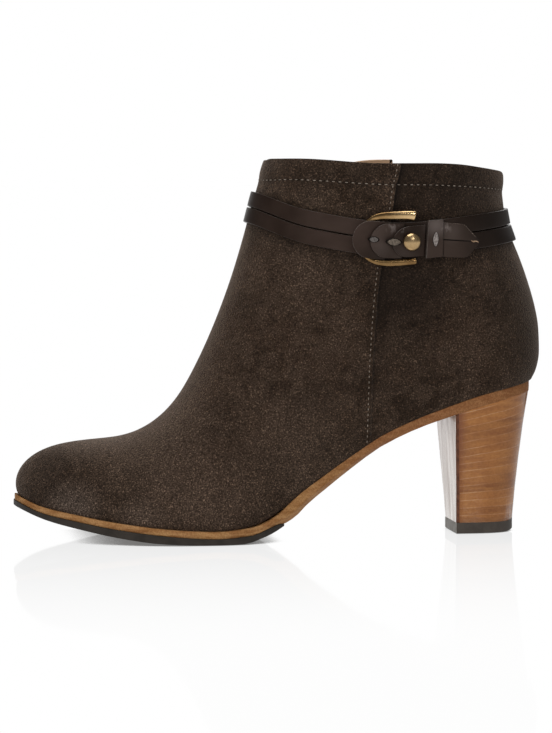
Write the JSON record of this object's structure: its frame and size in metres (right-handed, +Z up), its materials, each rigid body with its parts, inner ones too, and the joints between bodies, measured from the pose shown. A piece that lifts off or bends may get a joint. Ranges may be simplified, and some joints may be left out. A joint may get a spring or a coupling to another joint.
{
  "type": "ankle boot",
  "caption": "Heeled suede ankle boot for the left foot, with a double ankle strap, a brass buckle and a stacked heel.",
  "frame": {"origin": "on the floor, at the middle of the boot's length and width", "axes": "+X from the toe to the heel, -Y to the outer side of the foot, +Z up from the floor"},
  "size_m": [0.245, 0.0872, 0.174],
  "materials": {
    "suede": "brushed suede nap",
    "insole_leather": "plain",
    "sole_leather": "smooth, waxed edge",
    "heel_leather": "stacked layers, polished",
    "black_rubber": "matt",
    "strap_leather": "smooth, half gloss",
    "brass": "antique, half polished"
  },
  "bodies": {
    "root": {"upper": "suede", "insole": "insole_leather", "leather_sole": "sole_leather", "forefoot_outsole": "black_rubber", "heel_block": "heel_leather", "heel_top_lift": "black_rubber", "ankle_strap_upper": "strap_leather", "ankle_strap_lower": "strap_leather", "link_1": "strap_leather", "link_2": "strap_leather", "link_3": "strap_leather", "keeper_loop": "strap_leather", "strap_tip": "strap_leather", "buckle_frame": "brass", "stud": "brass"}
  },
  "joints": []
}
